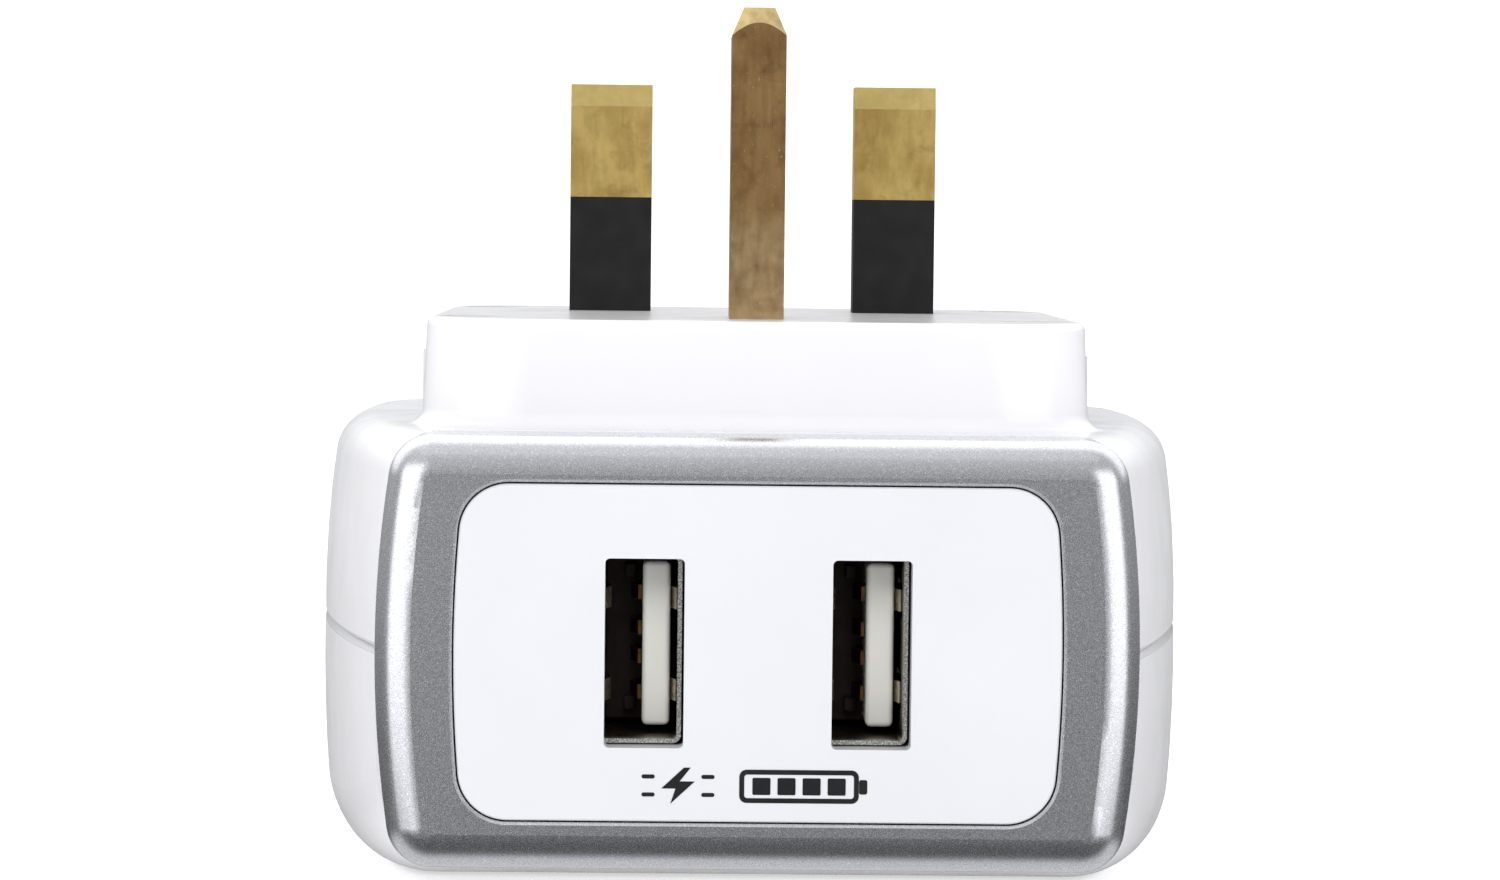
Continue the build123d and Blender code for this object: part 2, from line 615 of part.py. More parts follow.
finish(can_capacitors(BULK_CAPACITORS, 5.0, 16.0, LEADS["bulk"]), "bulk_capacitors")
finish(can_capacitors(OUTPUT_CAPACITORS, 4.0, 12.0, LEADS["output"]), "output_capacitors")
finish(boxed_part(OUTPUT_DIODE_XY, (8.8, 4.4, 10.0), 0.4, LEADS["diode"]), "output_diode")
finish(boxed_part(OPTOCOUPLER_XY, (4.6, 6.2, 3.5), 0.3, LEADS["optocoupler"]), "optocoupler")
finish(boxed_part(CONTROLLER_XY, (6.2, 9.2, 3.4), 0.3, LEADS["controller"]), "controller_chip")
finish(boxed_part(BRIDGE_XY, (8.2, 6.4, 3.2), 0.3, LEADS["bridge"]), "bridge_rectifier")
finish(boxed_part(X_CAPACITOR_XY, (13.0, 6.0, 11.0), 0.6, LEADS["x"]), "x_capacitor")

with BuildPart() as y_capacitor:
    with Locations(Plane((*Y_CAPACITOR_XY, MAIN_BOARD_TOP + 5.4), z_dir=(0, 1, 0))):
        Cylinder(4.2, 3.4)
    fillet(y_capacitor.edges().filter_by(GeomType.CIRCLE), 1.2)
    board_leads(LEADS["y"], MAIN_BOARD_TOP + 4.5)
finish(y_capacitor, "y_capacitor")

FUSE_AXIS_Z = MAIN_BOARD_TOP + 2.4
with BuildPart() as input_fuse:
    with Locations(Plane((FUSE_XY[0] - 4.5, FUSE_XY[1], FUSE_AXIS_Z), z_dir=(1, 0, 0))):
        Cylinder(1.9, 9.0, align=(Align.CENTER, Align.CENTER, Align.MIN))
    fillet(input_fuse.edges().filter_by(GeomType.CIRCLE), 0.5)
    with Locations(Plane((FUSE_XY[0] - 5.5 - LEAD_RADIUS, FUSE_XY[1], FUSE_AXIS_Z), z_dir=(1, 0, 0))):
        Cylinder(LEAD_RADIUS, 11.0 + 2 * LEAD_RADIUS, align=(Align.CENTER, Align.CENTER, Align.MIN))
    board_leads(LEADS["fuse"], FUSE_AXIS_Z)
finish(input_fuse, "input_fuse")

CHOKE_FLANGE = 1.2
CHOKE_HEIGHT = 9.0
with BuildPart() as choke_core:
    post(CHOKE_XY, 5.4, MAIN_BOARD_TOP, MAIN_BOARD_TOP + CHOKE_FLANGE)
    post(CHOKE_XY, 2.6, MAIN_BOARD_TOP, MAIN_BOARD_TOP + CHOKE_HEIGHT)
    post(CHOKE_XY, 5.4, MAIN_BOARD_TOP + CHOKE_HEIGHT - CHOKE_FLANGE, MAIN_BOARD_TOP + CHOKE_HEIGHT)
    board_leads(LEADS["choke"])
finish(choke_core, "choke_core")

with BuildPart() as choke_winding:
    winding_z = (MAIN_BOARD_TOP + CHOKE_FLANGE, MAIN_BOARD_TOP + CHOKE_HEIGHT - CHOKE_FLANGE)
    post(CHOKE_XY, 4.9, *winding_z)
    post(CHOKE_XY, 2.6, *winding_z, mode=Mode.SUBTRACT)
finish(choke_winding, "choke_winding")

# ---------------------------------------------------------------- transformer

CORE_HALF_WIDTH = 10.0
CORE_HALF_DEPTH = 2.75
CORE_LEG = 2.75
CORE_YOKE = 3.0
CORE_LOW_Z = MAIN_BOARD_TOP + 0.6
CORE_HIGH_Z = CORE_LOW_Z + 16.0
WINDOW_LOW_Z = CORE_LOW_Z + CORE_YOKE
WINDOW_HIGH_Z = CORE_HIGH_Z - CORE_YOKE
BOBBIN_WALL = 0.9
BOBBIN_HALF_DEPTH = 8.5


def transformer_block(half_x, half_y, z_range, mode=Mode.ADD):
    """A box centred on the transformer, in the part being built."""
    x, y = TRANSFORMER_XY
    block((x - half_x, x + half_x), (y - half_y, y + half_y), z_range, mode)


def core_half(z_low, z_high):
    """One E-shaped ferrite between two heights; its legs fill that span."""
    with BuildPart() as half:
        transformer_block(CORE_HALF_WIDTH, CORE_HALF_DEPTH, (z_low, z_high))
        window = (max(z_low, WINDOW_LOW_Z), min(z_high, WINDOW_HIGH_Z))
        for side in (-1, 1):
            inner = TRANSFORMER_XY[0] + side * CORE_LEG
            outer = TRANSFORMER_XY[0] + side * (CORE_HALF_WIDTH - CORE_LEG)
            y_range = (TRANSFORMER_XY[1] - CORE_HALF_DEPTH, TRANSFORMER_XY[1] + CORE_HALF_DEPTH)
            block(sorted((inner, outer)), y_range, window, Mode.SUBTRACT)
    return half


CORE_SPLIT_Z = (CORE_LOW_Z + CORE_HIGH_Z) / 2
finish(core_half(CORE_LOW_Z, CORE_SPLIT_Z), "transformer_core_lower")
finish(core_half(CORE_SPLIT_Z, CORE_HIGH_Z), "transformer_core_upper")

tube = CORE_LEG + 0.1
flange_x = CORE_HALF_WIDTH - CORE_LEG - 0.15
with BuildPart() as transformer_bobbin:
    transformer_block(tube + BOBBIN_WALL, tube + BOBBIN_WALL, (WINDOW_LOW_Z, WINDOW_HIGH_Z))
    for flange_z in (WINDOW_LOW_Z, WINDOW_HIGH_Z - BOBBIN_WALL):
        transformer_block(flange_x, BOBBIN_HALF_DEPTH, (flange_z, flange_z + BOBBIN_WALL))
    for side in (-1, 1):
        rail_y = TRANSFORMER_XY[1] + side * (BOBBIN_HALF_DEPTH - 1.7)
        block(
            (TRANSFORMER_XY[0] - flange_x, TRANSFORMER_XY[0] + flange_x),
            (rail_y - 1.7, rail_y + 1.7),
            (MAIN_BOARD_TOP, WINDOW_LOW_Z),
        )
    transformer_block(tube, tube, (WINDOW_LOW_Z, WINDOW_HIGH_Z), Mode.SUBTRACT)
    for x, y in LEADS["transformer"]:
        post((x, y), LEAD_RADIUS, MAIN_BOARD_TOP, MAIN_BOARD_TOP + 2, mode=Mode.SUBTRACT)
finish(transformer_bobbin, "transformer_bobbin")

with BuildPart() as transformer_pins:
    board_leads(LEADS["transformer"], MAIN_BOARD_TOP + 2)
finish(transformer_pins, "transformer_pins")

WINDING_HALF_X = 6.7
WINDING_HALF_Y = 7.2
TAPE = 0.2
winding_z = (WINDOW_LOW_Z + BOBBIN_WALL, WINDOW_HIGH_Z - BOBBIN_WALL)
with BuildPart() as transformer_winding:
    transformer_block(WINDING_HALF_X, WINDING_HALF_Y, winding_z)
    fillet(transformer_winding.edges().filter_by(Axis.Z), 1.5)
    transformer_block(tube + BOBBIN_WALL, tube + BOBBIN_WALL, winding_z, Mode.SUBTRACT)
finish(transformer_winding, "transformer_winding")

with BuildPart() as transformer_tape:
    transformer_block(WINDING_HALF_X + TAPE, WINDING_HALF_Y + TAPE, winding_z)
    fillet(transformer_tape.edges().filter_by(Axis.Z), 1.5 + TAPE)
    with BuildSketch(Plane.XY.offset(winding_z[0])):
        with Locations(TRANSFORMER_XY):
            RectangleRounded(2 * WINDING_HALF_X, 2 * WINDING_HALF_Y, 1.5)
    extrude(amount=winding_z[1] - winding_z[0], mode=Mode.SUBTRACT)
finish(transformer_tape, "transformer_tape")

# ---------------------------------------------------------------- USB board

USB_BOARD_HALF_WIDTH = 22.0
USB_BOARD_LOW_Z = 8.2
USB_BOARD_HIGH_Z = 30.6
CONTACT_HEIGHTS = [PANEL_Z + SHELL_SHIFT_Z + offset for offset in (-3.5, -1.0, 1.0, 3.5)]
CONTACT_WIDTH = 1.0
CONTACT_THICKNESS = 0.3
TAIL_Y = USB_BOARD_BACK_Y + 0.9
LEG_WIDTH = 1.6
HEADER_Z = MAIN_BOARD_TOP + 1.3


def shell_centre(port_x):
    """Where a receptacle's shell is centred, in X and Z."""
    return port_x + SHELL_SHIFT_X, PANEL_Z + SHELL_SHIFT_Z


def contact_x(port_x):
    """The plane of a receptacle's contacts, on the wide side of its tongue."""
    return port_x + TONGUE_SHIFT_X - TONGUE_THICKNESS / 2


def shell_legs(port_x):
    """X ranges of the two legs that fix a shell to the board."""
    x, _ = shell_centre(port_x)
    half = SHELL_WIDTH / 2
    return [(x - half, x - half + SHELL_WALL), (x + half - SHELL_WALL, x + half)]


with BuildPart() as usb_board:
    block(
        (-USB_BOARD_HALF_WIDTH, USB_BOARD_HALF_WIDTH),
        (USB_BOARD_FRONT_Y, USB_BOARD_BACK_Y),
        (USB_BOARD_LOW_Z, USB_BOARD_HIGH_Z),
    )
    for side in (-1, 1):
        port_x = side * PORT_X
        thickness = (USB_BOARD_FRONT_Y, USB_BOARD_BACK_Y)
        for leg in shell_legs(port_x):
            leg_z = (PANEL_Z - LEG_WIDTH / 2 - FIT_GAP, PANEL_Z + LEG_WIDTH / 2 + FIT_GAP)
            block((leg[0] - FIT_GAP, leg[1] + FIT_GAP), thickness, leg_z, Mode.SUBTRACT)
        for z in CONTACT_HEIGHTS:
            x = contact_x(port_x)
            slot_z = (z - 0.35, z + 0.35)
            block((x - CONTACT_THICKNESS - 0.05, x + 0.05), thickness, slot_z, Mode.SUBTRACT)
    for x, _ in LEADS["header"]:
        block((x - 0.4, x + 0.4), thickness, (HEADER_Z - 0.4, HEADER_Z + 0.4), Mode.SUBTRACT)
finish(usb_board, "usb_board")

with BuildPart() as header_pins:
    for x, y in LEADS["header"]:
        block((x - 0.3, x + 0.3), (USB_BOARD_FRONT_Y - 0.8, y + 0.3), (HEADER_Z - 0.3, HEADER_Z + 0.3))
        block((x - 0.3, x + 0.3), (y - 0.3, y + 0.3), (LEAD_LOW_Z, HEADER_Z))
finish(header_pins, "header_pins")

with BuildPart() as header_block:
    block((-6.4, 6.4), (USB_BOARD_BACK_Y, HEADER_Y - 0.3), (MAIN_BOARD_TOP, MAIN_BOARD_TOP + 2.5))
    for x, y in LEADS["header"]:
        block(
            (x - 0.3, x + 0.3),
            (USB_BOARD_BACK_Y, y),
            (HEADER_Z - 0.3, HEADER_Z + 0.3),
            Mode.SUBTRACT,
        )
finish(header_block, "header_block")

with BuildPart() as charge_chip:
    block((-1.6, 1.6), (USB_BOARD_BACK_Y, USB_BOARD_BACK_Y + 1.1), (23.6, 26.4))
    fillet(charge_chip.faces().sort_by(Axis.Y)[-1].edges(), 0.2)
    for side in (-1, 1):
        for z in (24.05, 25.0, 25.95):
            block(
                sorted((side * 1.6, side * 2.3)),
                (USB_BOARD_BACK_Y, USB_BOARD_BACK_Y + 0.3),
                (z - 0.2, z + 0.2),
            )
finish(charge_chip, "charge_chip")


def receptacle_shell(port_x):
    """Folded steel shell, open at the mouth, with four spring fingers and two legs."""
    x, z = shell_centre(port_x)
    half_x = SHELL_WIDTH / 2
    half_z = SHELL_HEIGHT / 2
    with BuildPart() as shell:
        with BuildSketch(Plane.XZ.offset(-USB_BOARD_FRONT_Y)):
            with Locations((x, z)):
                RectangleRounded(SHELL_WIDTH, SHELL_HEIGHT, 0.6)
                inside = (SHELL_WIDTH - 2 * SHELL_WALL, SHELL_HEIGHT - 2 * SHELL_WALL)
                RectangleRounded(*inside, 0.3, mode=Mode.SUBTRACT)
        extrude(amount=USB_BOARD_FRONT_Y - SHELL_MOUTH_Y)
        for side in (-1, 1):
            outer = x + side * half_x
            inner = outer - side * SHELL_WALL
            for finger_z in (z - 3.2, z + 3.2):
                window = (finger_z - 1.2, finger_z + 1.2)
                window_y = (SHELL_MOUTH_Y + 2.5, SHELL_MOUTH_Y + 9.0)
                block(sorted((inner, outer)), window_y, window, Mode.SUBTRACT)
                with BuildSketch(Plane.XY.offset(finger_z - 0.75)):
                    with BuildLine():
                        Polyline(
                            (outer, SHELL_MOUTH_Y + 9.0),
                            (outer - side * 0.55, SHELL_MOUTH_Y + 4.4),
                            (outer - side * 0.2, SHELL_MOUTH_Y + 3.0),
                            (inner - side * 0.1, SHELL_MOUTH_Y + 2.9),
                            (inner - side * 0.5, SHELL_MOUTH_Y + 4.4),
                            (inner, SHELL_MOUTH_Y + 9.0),
                            close=True,
                        )
                    make_face()
                extrude(amount=1.5)
        for leg in shell_legs(port_x):
            leg_z = (PANEL_Z - LEG_WIDTH / 2, PANEL_Z + LEG_WIDTH / 2)
            block(leg, (USB_BOARD_FRONT_Y, TAIL_Y), leg_z)
    return shell


INSULATOR_FRONT_Y = SHELL_MOUTH_Y + 9.6


def receptacle_insulator(port_x):
    """Moulded block that closes the shell's back, with the tongue that carries the contacts."""
    x, z = shell_centre(port_x)
    half_x = SHELL_WIDTH / 2 - SHELL_WALL
    half_z = SHELL_HEIGHT / 2 - SHELL_WALL
    tongue_x = port_x + TONGUE_SHIFT_X
    with BuildPart() as insulator:
        with BuildSketch(Plane.XZ.offset(-INSULATOR_FRONT_Y)):
            with Locations((tongue_x, z)):
                RectangleRounded(TONGUE_THICKNESS, TONGUE_HEIGHT, 0.4)
        extrude(amount=INSULATOR_FRONT_Y - TONGUE_MOUTH_Y)
        fillet(insulator.faces().sort_by(Axis.Y)[0].edges(), 0.3)
        base_y = (INSULATOR_FRONT_Y, USB_BOARD_FRONT_Y)
        block((x - half_x, x + half_x), base_y, (z - half_z + 0.3, z + half_z - 0.3))
        for height in CONTACT_HEIGHTS:
            side_x = contact_x(port_x)
            contact_z = (height - CONTACT_WIDTH / 2, height + CONTACT_WIDTH / 2)
            block((side_x - CONTACT_THICKNESS, side_x), base_y, contact_z, Mode.SUBTRACT)
    return insulator


def receptacle_contacts(port_x):
    """Four gilt contact strips with tails through the USB board."""
    x = contact_x(port_x)
    with BuildPart() as contacts:
        for z in CONTACT_HEIGHTS:
            strip_z = (z - CONTACT_WIDTH / 2, z + CONTACT_WIDTH / 2)
            block((x - CONTACT_THICKNESS, x), (TONGUE_MOUTH_Y + 1.2, USB_BOARD_FRONT_Y), strip_z)
            block((x - CONTACT_THICKNESS, x), (USB_BOARD_FRONT_Y, TAIL_Y), (z - 0.3, z + 0.3))
    return contacts


for name, side in (("left", -1), ("right", 1)):
    finish(receptacle_shell(side * PORT_X), f"{name}_usb_shell")
    finish(receptacle_insulator(side * PORT_X), f"{name}_usb_insulator")
    finish(receptacle_contacts(side * PORT_X), f"{name}_usb_contacts")
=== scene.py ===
"""Looks of the USB wall charger: finished shells, pins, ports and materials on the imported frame."""

import json
import math

import bmesh
import bpy
from mathutils import Matrix, Vector


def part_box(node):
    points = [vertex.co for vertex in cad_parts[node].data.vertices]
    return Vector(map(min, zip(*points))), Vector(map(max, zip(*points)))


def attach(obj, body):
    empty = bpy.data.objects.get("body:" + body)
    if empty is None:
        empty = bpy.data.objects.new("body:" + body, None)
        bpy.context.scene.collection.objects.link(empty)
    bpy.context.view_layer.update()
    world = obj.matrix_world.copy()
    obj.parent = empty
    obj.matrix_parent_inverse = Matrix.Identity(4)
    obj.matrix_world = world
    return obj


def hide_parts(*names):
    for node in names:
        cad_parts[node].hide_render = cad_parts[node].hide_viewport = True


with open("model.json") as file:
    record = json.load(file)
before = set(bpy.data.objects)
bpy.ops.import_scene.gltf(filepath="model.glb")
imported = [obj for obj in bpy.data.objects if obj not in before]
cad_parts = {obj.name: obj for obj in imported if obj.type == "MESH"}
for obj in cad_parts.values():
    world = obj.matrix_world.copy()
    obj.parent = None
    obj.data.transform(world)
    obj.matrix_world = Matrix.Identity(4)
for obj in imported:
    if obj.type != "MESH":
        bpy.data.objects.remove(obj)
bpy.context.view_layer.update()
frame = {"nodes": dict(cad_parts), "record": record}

MM = 0.001

PARTING_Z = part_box("rear_cover")[0][2]
PIN_FACE_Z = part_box("rear_cover")[1][2]
HANDLED_HEIGHT = 8.5 * MM

SHELL_WALL = 0.3 * MM
CARRIER_DEPTH = 9.6 * MM
TONGUE_THICKNESS = 1.95 * MM
TONGUE_HALF_HEIGHT = 5.75 * MM
KEY_SPACING = 4.7 * MM
CONTACT_WIDTH = 1.0 * MM
CONTACT_THICKNESS = 0.25 * MM
CONTACT_BOW = 0.62 * MM

LEGEND_Z = 9.5 * MM
INK_THICKNESS = 0.04 * MM
BOLT_X = -5.4 * MM
BOLT_STRETCH = 1.15
DASH_X = 2.05 * MM
DASH_LIFT = 0.62 * MM
BATTERY_X = 2.9 * MM
BATTERY_BARS = 4
BAR_PITCH = 1.72 * MM

CAMERA_MM = Vector((-5.46, -337.65, 48.61))
CAMERA_TURN = 0.0157
CAMERA_TILT = 0.0508
CAMERA_ROLL = 0.0109
LENS_MM = 106.24
SENSOR_MM = 36.0

BASE_FRONT = 0.34
BASE_ABOVE = 0.42
BOX_LIGHT = 1.75
BEHIND_ABOVE = 1.15
BEHIND_BELOW = 0.75
TOP_POWER = 0.5
KEY_POWER = 2.6
FILL_POWER = 1.1
RIGHT_FILL_SHARE = 1.35
LIGHT_AIM = (0, 0, 0.02)


# ---------------------------------------------------------------- materials


class Shader:
    """A Principled material whose texture nodes are added by short calls."""

    def __init__(self, name, colour, roughness, metallic=0.0, **constants):
        self.material = bpy.data.materials.new(name)
        self.material.use_nodes = True
        self.nodes = self.material.node_tree.nodes
        self.links = self.material.node_tree.links
        self.principled = self.nodes["Principled BSDF"]
        self.principled.inputs["Base Color"].default_value = (*colour, 1)
        self.principled.inputs["Roughness"].default_value = roughness
        self.principled.inputs["Metallic"].default_value = metallic
        for socket, value in constants.items():
            self.principled.inputs[socket.replace("_", " ")].default_value = value
        self.coordinates = self.nodes.new("ShaderNodeTexCoord")
        self.normal = None

    def noise(self, size_mm, detail=3.0, stretch=(1, 1, 1), roughness=0.5):
        """Noise whose features are about size_mm wide, stretched along an axis if asked."""
        mapping = self.nodes.new("ShaderNodeMapping")
        mapping.inputs["Scale"].default_value = [1 / (size_mm * MM * s) for s in stretch]
        self.links.new(self.coordinates.outputs["Object"], mapping.inputs["Vector"])
        noise = self.nodes.new("ShaderNodeTexNoise")
        noise.inputs["Scale"].default_value = 1.0
        noise.inputs["Detail"].default_value = detail
        noise.inputs["Roughness"].default_value = roughness
        self.links.new(mapping.outputs["Vector"], noise.inputs["Vector"])
        return noise.outputs["Fac"]

    def cells(self, size_mm):
        """Cells about size_mm wide, each with a random colour."""
        voronoi = self.nodes.new("ShaderNodeTexVoronoi")
        voronoi.inputs["Scale"].default_value = 1 / (size_mm * MM)
        self.links.new(self.coordinates.outputs["Object"], voronoi.inputs["Vector"])
        return voronoi.outputs["Color"]

    def split(self, output):
        """The X, Y and Z of the place on the object ("Object") or of the way the face looks ("Normal")."""
        split = self.nodes.new("ShaderNodeSeparateXYZ")
        self.links.new(self.coordinates.outputs[output], split.inputs["Vector"])
        return split.outputs

    def ramp(self, value, stops):
        """Maps a value to colours or greys; stops are (place, colour) pairs."""
        ramp = self.nodes.new("ShaderNodeValToRGB")
        while len(ramp.color_ramp.elements) < len(stops):
            ramp.color_ramp.elements.new(0.5)
        for element, (place, colour) in zip(ramp.color_ramp.elements, stops):
            element.position = place
            element.color = (*colour, 1) if isinstance(colour, tuple) else (colour,) * 3 + (1,)
        self.links.new(value, ramp.inputs["Fac"])
        return ramp.outputs["Color"]

    def mix(self, factor, first, second):
        """Blends two colours by a factor."""
        mix = self.nodes.new("ShaderNodeMix")
        mix.data_type = "RGBA"
        for socket, value in (("Factor", factor), ("A", first), ("B", second)):
            target = [s for s in mix.inputs if s.name == socket and s.enabled][0]
            if isinstance(value, bpy.types.NodeSocket):
                self.links.new(value, target)
            else:
                target.default_value = value if socket == "Factor" else (*value, 1)
        return [s for s in mix.outputs if s.enabled][0]

    def crevices(self, reach_mm, open_place, tight_place):
        """A mask that is 1 down in seams and grooves narrower than reach_mm, and 0 in the open."""
        occlusion = self.nodes.new("ShaderNodeAmbientOcclusion")
        occlusion.samples = 8
        occlusion.inputs["Distance"].default_value = reach_mm * MM
        return self.ramp(occlusion.outputs["AO"], [(tight_place, 1.0), (open_place, 0.0)])

    def band(self, height, half_mm):
        """A mask that is 1 within half_mm of a height on the object."""
        compare = self.nodes.new("ShaderNodeMath")
        compare.operation = "COMPARE"
        compare.inputs[1].default_value = height
        compare.inputs[2].default_value = half_mm * MM
        self.links.new(self.split("Object")["Z"], compare.inputs[0])
        return compare.outputs["Value"]

    def colour(self, output):
        self.links.new(output, self.principled.inputs["Base Color"])

    def roughness(self, value, low, high):
        """Lets a value move the roughness between two limits."""
        scale = self.nodes.new("ShaderNodeMapRange")
        scale.inputs["To Min"].default_value = low
        scale.inputs["To Max"].default_value = high
        self.links.new(value, scale.inputs["Value"])
        self.links.new(scale.outputs["Result"], self.principled.inputs["Roughness"])

    def bump(self, height, depth_mm):
        """Raises the surface by a height map; further calls add on top."""
        bump = self.nodes.new("ShaderNodeBump")
        bump.inputs["Strength"].default_value = 1.0
        bump.inputs["Distance"].default_value = depth_mm * MM
        self.links.new(height, bump.inputs["Height"])
        if self.normal:
            self.links.new(self.normal, bump.inputs["Normal"])
        self.normal = bump.outputs["Normal"]
        self.links.new(self.normal, self.principled.inputs["Normal"])


def gloss_plastic(name, colour, roughness=0.2, shade=0.97, seam_z=None):
    """Polished moulded plastic: faint tone drift, painted shade down in seams and grooves, soft flow ripples
    and hairline scuffs.

    seam_z is the height of a parting line; a thin band just below it is darkened to half the colour as
    painted shade in the groove.
    """
    s = Shader(name, colour, roughness, IOR=1.5)
    dimmer = tuple(c * shade for c in colour)
    crevice_shade = tuple(c * 0.42 for c in colour)
    drift = s.mix(s.ramp(s.noise(14), [(0.35, 0.0), (0.7, 1.0)]), colour, dimmer)
    # Painted shade: seams and grooves narrower than half a millimetre darken toward 0.42 of the colour.
    shown = s.mix(s.crevices(0.5, 0.62, 0.25), drift, crevice_shade)
    if seam_z is not None:
        # Painted shade: a band about 0.44 mm tall just below the parting line is set to half the colour.
        shown = s.mix(s.band(seam_z - 0.2 * MM, 0.22), shown, tuple(c * 0.5 for c in colour))
    s.colour(shown)
    s.roughness(s.noise(5, 4), roughness - 0.04, roughness + 0.06)
    s.bump(s.noise(6, 2), 0.012)
    s.bump(s.noise(0.12, 2), 0.0012)
    return s.material


def matte_plastic(name, colour, roughness=0.5, grain_mm=0.25, depth_mm=0.012):
    """Textured moulded plastic with a fine spark-eroded grain."""
    s = Shader(name, colour, roughness, IOR=1.4)
    lighter = tuple(min(1, c * 1.35 + 0.003) for c in colour)
    s.colour(s.mix(s.ramp(s.noise(1.6, 4), [(0.4, 0.0), (0.7, 1.0)]), colour, lighter))
    s.roughness(s.noise(0.8, 3), roughness - 0.08, roughness + 0.1)
    s.bump(s.noise(grain_mm, 3), depth_mm)
    return s.material


def metal(name, colour, tarnish, roughness, grain=(1, 1, 14), patch_mm=3.0):
    """Drawn or stamped metal: grain along one axis, tarnish in patches."""
    s = Shader(name, colour, roughness, 1.0)
    patches = s.ramp(s.noise(patch_mm, 5, roughness=0.65), [(0.35, 0.0), (0.68, 1.0)])
    s.colour(s.mix(patches, colour, tarnish))
    s.roughness(s.noise(0.25, 3, grain), roughness - 0.1, roughness + 0.14)
    s.bump(s.noise(0.12, 3, grain), 0.006)
    return s.material


def metallic_paint(name):
    """Silver paint: small aluminium flakes at random tilts under a clear coat."""
    s = Shader(name, (0.60, 0.605, 0.625), 0.24, 0.92, Coat_Weight=0.2, Coat_Roughness=0.12)
    separate = s.nodes.new("ShaderNodeSeparateColor")
    s.links.new(s.cells(0.06), separate.inputs["Color"])
    dark, middle, bright = (0.47, 0.475, 0.50), (0.59, 0.597, 0.625), (0.88, 0.885, 0.90)
    s.colour(s.ramp(separate.outputs["Red"], [(0.0, dark), (0.3, middle), (0.9, middle), (1.0, bright)]))
    s.roughness(separate.outputs["Green"], 0.19, 0.31)
    s.bump(separate.outputs["Blue"], 0.0014)
    s.bump(s.noise(0.9, 3), 0.002)
    return s.material


def worn_shaded_steel(name):
    """Nickel-plated shell: bright and scuffed at the mouth, darkened further in by painted shade, and painted
    lighter as painted light on faces turned toward the mouth, such as its spring tabs.
    """
    s = Shader(name, (0.10, 0.095, 0.085), 0.42, 1.0)
    mouth_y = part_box("left_usb_shell")[0][1]
    # Painted shade: past the mouth the colour turns from the scuffed metal to a dark tone.
    depth = s.nodes.new("ShaderNodeMapRange")
    depth.inputs["From Min"].default_value = mouth_y + 0.1 * MM
    depth.inputs["From Max"].default_value = mouth_y + 1.6 * MM
    s.links.new(s.split("Object")["Y"], depth.inputs["Value"])
    speckle = s.ramp(s.noise(0.13, 3, roughness=0.7), [(0.42, (0.26, 0.25, 0.22)), (0.6, (0.86, 0.84, 0.78))])
    inner_shade = s.ramp(s.noise(0.9, 4), [(0.35, (0.07, 0.055, 0.045)), (0.7, (0.20, 0.155, 0.115))])
    # Painted light: faces turned toward the mouth, such as the spring tabs, take a lighter tan.
    faces_mouth = s.nodes.new("ShaderNodeMapRange")
    faces_mouth.inputs["From Min"].default_value = -0.08
    faces_mouth.inputs["From Max"].default_value = -0.22
    s.links.new(s.split("Normal")["Y"], faces_mouth.inputs["Value"])
    mouthward_light = s.ramp(s.noise(0.5, 4), [(0.35, (0.55, 0.47, 0.36)), (0.65, (0.80, 0.72, 0.58))])
    inside = s.mix(faces_mouth.outputs["Result"], inner_shade, mouthward_light)
    s.colour(s.mix(depth.outputs["Result"], speckle, inside))
    s.roughness(s.noise(0.2, 3, (1, 8, 1)), 0.3, 0.55)
    s.bump(s.noise(0.1, 3), 0.006)
    return s.material


